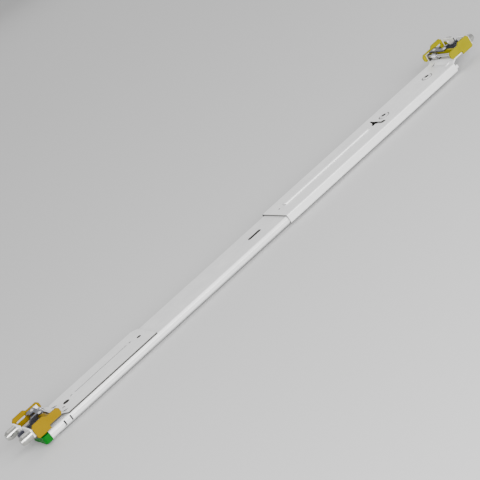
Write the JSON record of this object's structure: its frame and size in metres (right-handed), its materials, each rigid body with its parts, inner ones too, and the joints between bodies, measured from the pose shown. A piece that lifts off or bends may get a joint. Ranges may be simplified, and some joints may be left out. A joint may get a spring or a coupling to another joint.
{
  "type": "sliding server rail",
  "caption": "Telescoping ball-bearing rail that carries a 1U server in a four-post rack, with toolless latches on a front and a depth-adjusting rear bracket.",
  "frame": {"origin": "middle of the rail's length and height, on the back of the chassis member", "axes": "+X from the front rack post to the rear one, +Y up as mounted, +Z outwards from the server to the post"},
  "size_m": [0.578, 0.0436, 0.0244],
  "materials": {
    "zinc_steel": "zinc-plated cold-rolled steel, satin",
    "bracket_steel": "zinc-plated stamped steel, satin",
    "fastener_steel": "zinc-plated rivet steel",
    "peg_steel": "bright nickel-plated turned steel",
    "hook_steel": "dark bright steel",
    "spring_steel": "spring steel wire and strip",
    "cage_steel": "thin bright steel strip",
    "ball_steel": "polished bearing steel",
    "yellow_plastic": "moulded yellow plastic",
    "green_plastic": "moulded green plastic",
    "black_plastic": "moulded black plastic"
  },
  "bodies": {
    "fixed_rail": {"outer_member": "zinc_steel", "outer_rear_buffer": "black_plastic", "front_bracket": "bracket_steel", "front_bracket_rivets": "fastener_steel", "front_pegs": "peg_steel", "front_latch_pin": "fastener_steel", "adjust_stud": "fastener_steel"},
    "front_latch": {"front_latch_lever": "yellow_plastic", "front_latch_hook": "hook_steel", "front_latch_rivets": "fastener_steel", "front_latch_spring": "spring_steel"},
    "rear_support": {"rear_bracket": "bracket_steel", "rear_stiffener": "bracket_steel", "rear_bracket_rivets": "fastener_steel", "rear_pegs": "peg_steel", "rear_latch_pin": "fastener_steel"},
    "rear_latch": {"rear_latch_lever": "yellow_plastic", "rear_latch_hook": "hook_steel", "rear_latch_rivets": "fastener_steel", "rear_latch_spring": "spring_steel"},
    "outer_cage": {"outer_ball_cage": "cage_steel", "outer_balls": "ball_steel"},
    "middle_rail": {"middle_member": "zinc_steel", "middle_rear_damper": "black_plastic"},
    "inner_cage": {"inner_ball_cage": "cage_steel", "inner_balls": "ball_steel"},
    "chassis_rail": {"inner_member": "zinc_steel", "inner_front_grip": "green_plastic", "grip_rivets": "fastener_steel", "release_pivot": "fastener_steel"},
    "release_lever": {"release_lever": "spring_steel"}
  },
  "joints": [
    {"name": "depth_adjust", "type": "slide", "parent": "fixed_rail", "child": "rear_support", "axis": [1, 0, 0], "range_m": [-0.005, 0.1]},
    {"name": "middle_slide", "type": "slide", "parent": "fixed_rail", "child": "middle_rail", "axis": [-1, 0, 0], "range_m": [0, 0.2]},
    {"name": "outer_cage_roll", "type": "slide", "parent": "fixed_rail", "child": "outer_cage", "axis": [-1, 0, 0], "range_m": [0, 0.1]},
    {"name": "inner_slide", "type": "slide", "parent": "middle_rail", "child": "chassis_rail", "axis": [-1, 0, 0], "range_m": [0, 0.2]},
    {"name": "inner_cage_roll", "type": "slide", "parent": "middle_rail", "child": "inner_cage", "axis": [-1, 0, 0], "range_m": [0, 0.1]},
    {"name": "front_latch_swing", "type": "hinge", "parent": "fixed_rail", "child": "front_latch", "pos_m": [-0.2535, 0, 0.018], "axis": [0, 1, 0], "range_deg": [0, 10], "stiffness_Nm_per_rad": 0.3, "springref_deg": -11.46},
    {"name": "rear_latch_swing", "type": "hinge", "parent": "rear_support", "child": "rear_latch", "pos_m": [0.2585, 0, 0.018], "axis": [0, -1, 0], "range_deg": [0, 10], "stiffness_Nm_per_rad": 0.3, "springref_deg": -11.46},
    {"name": "release_swing", "type": "hinge", "parent": "chassis_rail", "child": "release_lever", "pos_m": [-0.168, 0, 0.0019], "axis": [0, 0, 1], "range_deg": [-5, 5], "stiffness_Nm_per_rad": 0.05}
  ],
  "couplings": [
    {"joint": "outer_cage_roll", "follows": "middle_slide", "ratio": 0.5},
    {"joint": "inner_cage_roll", "follows": "inner_slide", "ratio": 0.5}
  ]
}
